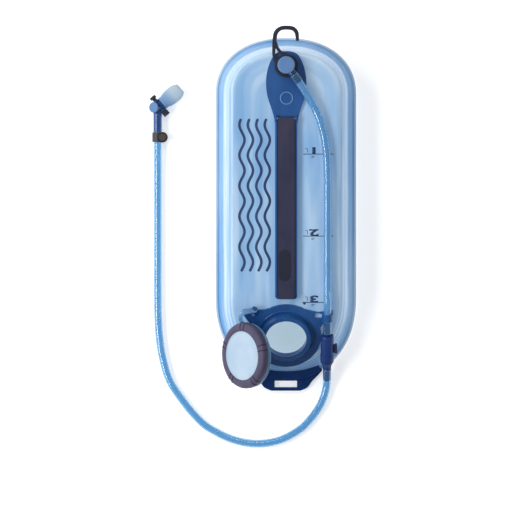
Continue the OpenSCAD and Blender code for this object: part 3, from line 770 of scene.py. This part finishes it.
def numeral(text, x, y):
    """A wide numeral that reads the right way up when the reservoir hangs from its port."""
    curve = bpy.data.curves.new("numeral", "FONT")
    curve.body = text
    curve.size = NUMERAL_SIZE
    curve.offset = NUMERAL_BOLD
    curve.align_x = "CENTER"
    curve.align_y = "CENTER"
    holder = bpy.data.objects.new("numeral", curve)
    bpy.context.scene.collection.objects.link(holder)
    bpy.context.view_layer.update()
    mesh = bpy.data.meshes.new_from_object(holder)
    bpy.data.objects.remove(holder)
    for v in mesh.vertices:
        v.co = on_film(x - NUMERAL_WIDE * v.co.x, y - NUMERAL_LOW * v.co.y)
    obj = bpy.data.objects.new("numeral", mesh)
    bpy.context.scene.collection.objects.link(obj)
    return obj


def ink_piece(name, parts, look):
    """Printed shapes as one thin piece that rides on the film."""
    piece = join(name, parts)
    bm = bmesh.new()
    bm.from_mesh(piece.data)
    for face in bm.faces:
        face.normal_update()
        if face.normal.z < 0:
            face.normal_flip()
    bm.to_mesh(piece.data)
    bm.free()
    thick = piece.modifiers.new("ink", "SOLIDIFY")
    thick.thickness = INK_T
    thick.offset = 1
    apply_modifiers(piece)
    dress(piece, look)
    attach(piece, "reservoir")


SCALE_MARKS = [("1", 68 * MM, 59), ("2", -34 * MM, 59), ("3", -116.5 * MM, 50)]
SCALE_LEFT, SCALE_MIDDLE = 21, 40
NUMERAL_AT = (34.5, 4.7)
MARK_LINE, SMALL_LINE = 0.9 * MM, 0.6 * MM
SMALL_PRINT = [
    [(54, 3.6), (49, 3.6)], [(31, -2.6), (36, -2.6)],
    [(53, 5.4), (50.6, 5.4)], [(31, -4.3), (34.4, -4.3)],
    [(23.4, 6.8), (26.6, 6.8)], [(26.6, 6.8), (26.6, 1.8)]]
END_MARK = [(20, 0), (25.4, 0), (22.7, -3.2)]


def beside(y, points):
    """Points given in mm across the film, and up from a volume mark at y."""
    return [(x * MM, y + up * MM) for x, up in points]


def make_scale(look):
    """Volume marks at 1, 2 and 3 litres, upside down as the reservoir lies."""
    parts = []
    for text, y, right in SCALE_MARKS:
        mark = [(SCALE_LEFT, 0), (SCALE_MIDDLE, 0), (right, 0)]
        parts.append(ribbon(beside(y, mark), MARK_LINE))
        parts.append(numeral(text, *beside(y, [NUMERAL_AT])[0]))
        parts += [ribbon(beside(y, line), SMALL_LINE) for line in SMALL_PRINT]
    parts.append(patch(beside(SCALE_MARKS[-1][1], END_MARK)))
    ink_piece("volume_scale", parts, look)


WAVE_LINES = (-55 * MM, -44.5 * MM, -34 * MM, -23.5 * MM)
WAVE_TOP, WAVE_LENGTH, WAVE_STEPS = 112 * MM, 190 * MM, 60
WAVE_SWING, WAVE_PITCH = 3.2 * MM, 38 * MM
WAVE_LINE = 3.2 * MM


def make_wave_print(look):
    """A generic water pattern in the strip beside the spine."""
    parts = []
    for x in WAVE_LINES:
        line = []
        for i in range(WAVE_STEPS + 1):
            y = WAVE_TOP - WAVE_LENGTH * i / WAVE_STEPS
            line.append((x + WAVE_SWING * math.sin(2 * math.pi * y / WAVE_PITCH), y))
        parts.append(ribbon(line, WAVE_LINE))
    ink_piece("wave_print", parts, look)


# ---------------------------------------------------------------- port, cap and tether

THREAD_STARTS, THREAD_STEPS = 2, 72
THREAD_FADE = 14
RIDGE_HALF, RIDGE_ROOT, RIDGE_LEAST = 0.9 * MM, 0.5 * MM, 0.05 * MM


def thread(name, place, radius, height, low, turns, depth):
    """A screw thread's ridges round a cylinder, faded out at both ends."""
    def ridge(share):
        fade = min(1.0, share * THREAD_FADE, (1 - share) * THREAD_FADE)
        tip = max(RIDGE_LEAST, abs(depth) * fade)
        return [(math.copysign(tip, depth), 0), (0, RIDGE_HALF), (-RIDGE_ROOT, RIDGE_HALF),
                (-RIDGE_ROOT, -RIDGE_HALF), (0, -RIDGE_HALF)]

    parts = []
    steps = round(THREAD_STEPS * turns)
    for start in range(THREAD_STARTS):
        line = []
        for i in range(steps + 1):
            a = 2 * math.pi * (turns * i / steps + start / THREAD_STARTS)
            z = low + height * i / steps
            line.append(place @ Vector((radius * math.cos(a), radius * math.sin(a), z)))
        parts.append(sweep("ridge", line, ridge, up=place.to_3x3() @ Vector(UP)))
    return face_out(join(name, parts))


def make_port_details(looks):
    """The collar's thread, its rounded lip, and the bead round the flange."""
    ridges = thread("port_thread", PORT, 31.2 * MM, 5.4 * MM, 4.2 * MM, 0.9, 0.55 * MM)
    dress(ridges, looks["port_blue"])
    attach(ridges, "reservoir")
    lip = [(25.5, 11.2), (25.8, 11.8), (26.5, 12.15), (27.6, 12.2), (28.4, 12.1), (28.7, 11.6)]
    ring = face_out(lathe("mouth_lip", lip, PORT))
    dress(ring, looks["port_blue"])
    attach(ring, "reservoir")
    weld = [(34.2, 2.6), (34.2, 3.3), (34.8, 3.7), (35.6, 3.7), (36.2, 3.3), (36.2, 2.6)]
    bead = face_out(lathe("port_flange_bead", weld, PORT))
    dress(bead, looks["port_blue"])
    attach(bead, "reservoir")


CAP_UP = CAP.to_3x3() @ Vector(UP)
FLUTE_PAIRS, FLUTE_HALF_GAP, FIRST_FLUTE = 5, 5, 18
FLUTE_R = 0.6 * MM
FACE_RING_R, FACE_RING_Z = 9.5 * MM, 14.05 * MM
GRIP_TOP = [(30.0, 13.9), (31.2, 14.4), (33.0, 14.75), (35.0, 14.8), (37.0, 14.5), (38.8, 13.8),
            (40.1, 12.7), (40.8, 11.3), (41.0, 9.6), (41.0, 7.4)]
GRIP_UNDER = [(40.9, 6.0), (40.3, 5.4), (38, 5.4), (38, 11.4), (29.6, 11.4), (29.6, 13.4)]


def make_cap_details(looks):
    """The crowned grip ring and dark wires that paint the shade in its grooves, the face's rim, the thread and a
    plain ring.
    """
    grip = face_out(lathe("cap_grip_ring", GRIP_TOP + GRIP_UNDER, CAP))
    dress(grip, looks["cap_grip"])
    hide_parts("cap_grip")
    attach(grip, "cap")
    rim = [(28.4, 13.5), (28.6, 14.15), (29.2, 14.4), (30.0, 14.35), (30.4, 14.1), (30.5, 13.5)]
    ring = face_out(lathe("cap_face_rim", rim, CAP))
    dress(ring, looks["cap_face"])
    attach(ring, "cap")
    ridges = thread("cap_thread", CAP, 32.0 * MM, 5.0 * MM, 2.2 * MM, 0.8, -0.2 * MM)
    dress(ridges, looks["cap_blue"])
    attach(ridges, "cap")
    # The flutes are dark wires along the grip's top: painted shade where the grooves are.
    profile = catmull([(r * MM, z * MM, 0) for r, z in GRIP_TOP[1:]], 1.0 * MM)
    flutes = []
    for k in range(FLUTE_PAIRS):
        for side in (-FLUTE_HALF_GAP, FLUTE_HALF_GAP):
            a = math.radians(360 / FLUTE_PAIRS * k + side + FIRST_FLUTE)
            line = [CAP @ Vector((r * math.cos(a), r * math.sin(a), z)) for r, z, _ in profile]
            flutes.append(sweep("flute", line, wire(FLUTE_R, 10), up=CAP_UP))
    flutes = face_out(join("cap_flutes", flutes))
    dress(flutes, looks["groove_dark"])
    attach(flutes, "cap")
    line = round_line(48, lambda a: CAP @ Vector((FACE_RING_R * math.sin(a),
                                                  FACE_RING_R * math.cos(a), FACE_RING_Z)))
    ring = face_out(sweep("cap_face_ring", line, wire(0.45 * MM, 8), True, CAP_UP))
    dress(ring, looks["cap_face"])
    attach(ring, "cap")


BAND_HALF_T = 1.05 * MM
BAND_SECTION = [(1, 0), (0.86, 0.8), (0.5, 1), (-0.5, 1), (-0.86, 0.8), (-1, 0),
                (-0.86, -0.8), (-0.5, -1), (0.5, -1), (0.86, -0.8)]


def make_tether(look):
    """The soft strap: an eye on the pin, and a band that turns down to the cap's ring."""
    eye = lathe("eye", [(2.35, 8.0), (2.35, 10), (2.7, 10.2), (3.9, 10.2), (4.3, 9.8),
                        (4.3, 8.2), (3.9, 7.9)], PIN, 40)
    route = [(-42.6, -126.9, 54.7), (-46.5, -127.4, 56.4), (-51, -128.6, 57.6),
             (-54.9, -130.6, 57.2), (-56.9, -134.2, 54.6), (-56.8, -138, 51.4), (-55, -141.4, 48.8)]
    line = catmull(np.array(route) * MM, 1.2 * MM)

    def band(share):
        half = (3.3 - 0.9 * share) * MM
        return [(a * half, b * BAND_HALF_T) for a, b in BAND_SECTION]

    piece = face_out(join("tether_band", [eye, sweep("band", line, band)]))
    dress(piece, look)
    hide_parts("tether_strap")
    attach(piece, "tether")


EMBLEM_R = 7.5 * MM


def make_spine_emblem(look):
    """A plain raised ring on the spine plate, in a lighter blue that is partly its own colour and partly a painted
    highlight.
    """
    middle = Vector((0.6, 137.5, 57.35)) * MM
    line = round_line(64, lambda a: middle + EMBLEM_R * Vector((math.sin(a), math.cos(a), 0)))
    ring = face_out(sweep("spine_emblem", line, wire(1.0 * MM, 10), True))
    dress(ring, look)
    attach(ring, "reservoir")


COIL_WIRE_R, COIL_TURNS, COIL_STEPS = 0.22 * MM, 3, 96


def make_button_spring(look):
    """The release button's coil."""
    low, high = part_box("button_spring")
    y, z = (low.y + high.y) / 2, (low.z + high.z) / 2
    r = (high.y - low.y) / 2 - COIL_WIRE_R
    length = high.x - low.x
    line = []
    for i in range(COIL_STEPS + 1):
        a = 2 * math.pi * COIL_TURNS * i / COIL_STEPS
        x = low.x + COIL_WIRE_R + (length - 2 * COIL_WIRE_R) * i / COIL_STEPS
        line.append(Vector((x, y + r * math.cos(a), z + r * math.sin(a))))
    coil = face_out(sweep("button_coil", line, wire(COIL_WIRE_R, 10), up=(1, 0, 0)))
    dress(coil, look)
    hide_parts("button_spring")
    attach(coil, "reservoir")
    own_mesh(coil)


def make_shutoff_details(looks):
    """The elbow's bosses round the shut-off bar, and the neck of the end that moves away."""
    low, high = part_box("shutoff_slider")
    middle = (Vector(low) + Vector(high)) / 2
    bar = Vector(JOINTS["shutoff_slide"]["axis"])
    boss = [(2.8, 5.6), (4.5, 5.6), (4.3, 7.4), (3.9, 8.1), (3.2, 8.2), (2.8, 8.0)]
    guides = [lathe("guide", boss, axes_at(middle, bar * s, side=UP), 40) for s in (-1, 1)]
    guides = face_out(join("shutoff_guides", guides))
    dress(guides, looks["elbow_navy"])
    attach(guides, "bite")
    taper = [(2.3, 8.4), (3.6, 8.4), (4.1, 9.2), (4.3, 11.6), (2.3, 11.6)]
    neck = face_out(lathe("shutoff_neck", taper, axes_at(middle, bar, side=UP), 40))
    dress(neck, looks["hook_charcoal"])
    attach(neck, "shutoff")


KNOB_RIM_R, KNOB_RIM_DROP = 5.8 * MM, 0.3 * MM


def make_knob_rim(look):
    """The dark lip round the magnet in the hose clip."""
    low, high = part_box("clip_magnet")
    middle = Vector(((low.x + high.x) / 2, (low.y + high.y) / 2, high.z - KNOB_RIM_DROP))
    line = round_line(64, lambda a: middle + KNOB_RIM_R * Vector((math.cos(a), math.sin(a), 0)))
    rim = face_out(sweep("clip_knob_rim", line, wire(0.75 * MM, 12), True))
    dress(rim, look)
    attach(rim, "clip")


# ---------------------------------------------------------------- bite valve

VALVE_RINGS = [
    (7.9, 6.9, 7.0), (7.9, 7.5, 7.8), (8.4, 7.8, 8.2), (10.4, 7.9, 8.3), (11.2, 7.6, 8.0),
    (12.2, 7.6, 8.4), (14.5, 7.5, 9.3), (18, 7.2, 10.1), (23, 6.7, 10.6), (27.5, 6.0, 10.6),
    (31, 5.2, 10.1), (34, 4.6, 9.1), (36.2, 3.9, 7.8), (37.4, 3.2, 6.8), (38, 2.4, 6.1),
    (38, 1.2, 5.6), (37.4, 0.45, 5.3), (34.5, 0.3, 5.2)]
VALVE_SIDES = 56
VALVE_ROUND = 0.86


def make_bite_valve(look):
    """The silicone mouthpiece, of (height, thickness, width) rings up to a hollow slit tip."""
    turns = round_line(VALVE_SIDES, lambda a: (signed_power(math.cos(a), VALVE_ROUND),
                                               signed_power(math.sin(a), VALVE_ROUND)))
    verts = [VALVE @ Vector((thick * MM * c, wide * MM * s, z * MM))
             for z, thick, wide in VALVE_RINGS for c, s in turns]
    faces = ring_faces(len(VALVE_RINGS), VALVE_SIDES) + end_faces(len(VALVE_RINGS), VALVE_SIDES)
    valve = face_out(add_object("bite_valve_soft", verts, faces))
    heights = [ring[0] for ring in VALVE_RINGS]
    foot, length = min(heights), max(heights) - min(heights)
    place = valve.data.attributes.new("along", "FLOAT", "POINT")
    place.data.foreach_set("value", [(z - foot) / length for z in heights for _ in turns])
    smooth = valve.modifiers.new("smooth", "SUBSURF")
    smooth.levels = smooth.render_levels = 1
    apply_modifiers(valve)
    dress(valve, look)
    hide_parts("bite_valve")
    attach(valve, "bite")
    return valve


# ---------------------------------------------------------------- CAD nodes

SOFTENED = {
    "hang_tab": 0.8, "spine_plate": 1.2, "outlet_elbow": 0.5, "elbow_cap": 0.5,
    "drying_hook": 1.0, "hanger_arm": 1.6, "thumb_grip": 0.35, "port_frame": 1.0,
    "port_collar": 0.9, "hose_loop": 0.8, "tether_pin": 0.4, "tether_ring": 0.4,
    "cap_body": 0.6, "cap_face": 0.3, "coupling_body": 0.5,
    "release_button": 0.7, "male_insert": 0.4, "hose_clip": 0.6, "clip_magnet": 0.4,
    "bite_adapter": 0.5, "bite_elbow": 0.5, "bite_cover": 0.3, "shutoff_slider": 0.5}


def soften(node, width):
    """Rounds a moulded part's edges without touching its own mesh."""
    weld = node.modifiers.new("weld", "WELD")
    weld.merge_threshold = 0.01 * MM
    flat = node.modifiers.new("flat", "DECIMATE")
    flat.decimate_type = "DISSOLVE"
    flat.angle_limit = math.radians(0.6)
    bevel = node.modifiers.new("round", "BEVEL")
    bevel.width = width * MM
    bevel.segments = 3
    bevel.limit_method = "ANGLE"
    bevel.angle_limit = math.radians(38)
    bevel.use_clamp_overlap = True
    node.modifiers.new("shade", "WEIGHTED_NORMAL")


def dress_cad_nodes(looks):
    """The record's materials on the CAD's own meshes, and rounded edges."""
    slots = {s["node"]: s["material_slot"] for s in frame["record"]["subparts"]}
    for name, node in NODES.items():
        look = looks.get(slots[name])
        if look:
            for holder in node.material_slots:
                holder.material = look
        if name in SOFTENED:
            soften(node, SOFTENED[name])


# ---------------------------------------------------------------- floor and light

FLOOR_HALF, FLOOR_Z = 6.0, -0.3 * MM


def make_floor():
    """The white table."""
    look = Look("floor", (250, 250, 250), 0.9, Emission_Color=(1, 1, 1, 1), Emission_Strength=0.5)
    look.vary((246, 247, 248), 3)
    corners = [(x * FLOOR_HALF, y * FLOOR_HALF, FLOOR_Z)
               for x, y in ((-1, -1), (1, -1), (1, 1), (-1, 1))]
    floor = add_object("floor", corners, [(0, 1, 2, 3)], smooth=False)
    floor.data.materials.append(look.material)


def area_light(name, place, size, power):
    """A rectangular lamp aimed at the object's middle."""
    data = bpy.data.lights.new(name, "AREA")
    data.shape = "RECTANGLE"
    data.size, data.size_y = size
    data.energy = power
    light = bpy.data.objects.new(name, data)
    light.location = place
    light.rotation_euler = (-Vector(place)).to_track_quat("-Z", "Y").to_euler()
    light.visible_camera = False
    light.visible_transmission = False
    bpy.context.scene.collection.objects.link(light)


def make_light():
    """A pale room, a key light on the left and two weak ones."""
    world = bpy.data.worlds.new("studio")
    world.use_nodes = True
    back = world.node_tree.nodes["Background"]
    back.inputs["Color"].default_value = (0.93, 0.96, 1.0, 1)
    back.inputs["Strength"].default_value = 0.27
    bpy.context.scene.world = world
    area_light("key", (-1.4, 0.05, 1.35), (2.0, 0.6), 29)
    area_light("fill", (1.5, -0.3, 1.3), (0.3, 1.3), 2)
    area_light("top", (0.0, 1.1, 1.8), (1.2, 0.4), 5)
    bpy.context.scene.view_settings.view_transform = "Standard"


# ---------------------------------------------------------------- all

make_camera()
looks = make_looks()
drink, drink_line, drink_length = make_hoses(looks)
valve = make_bite_valve(looks["valve_silicone"])
make_front_film(looks["film"])
make_back_film(looks["film_back"])
make_scale(looks["ink"])
make_wave_print(looks["ink"])
make_port_details(looks)
make_cap_details(looks)
make_tether(looks["tether_clear"])
make_spine_emblem(looks["cover_blue"])
make_button_spring(looks["steel"])
make_shutoff_details(looks)
make_knob_rim(looks["seal_black"])
dress_cad_nodes(looks)
make_floor()
make_light()
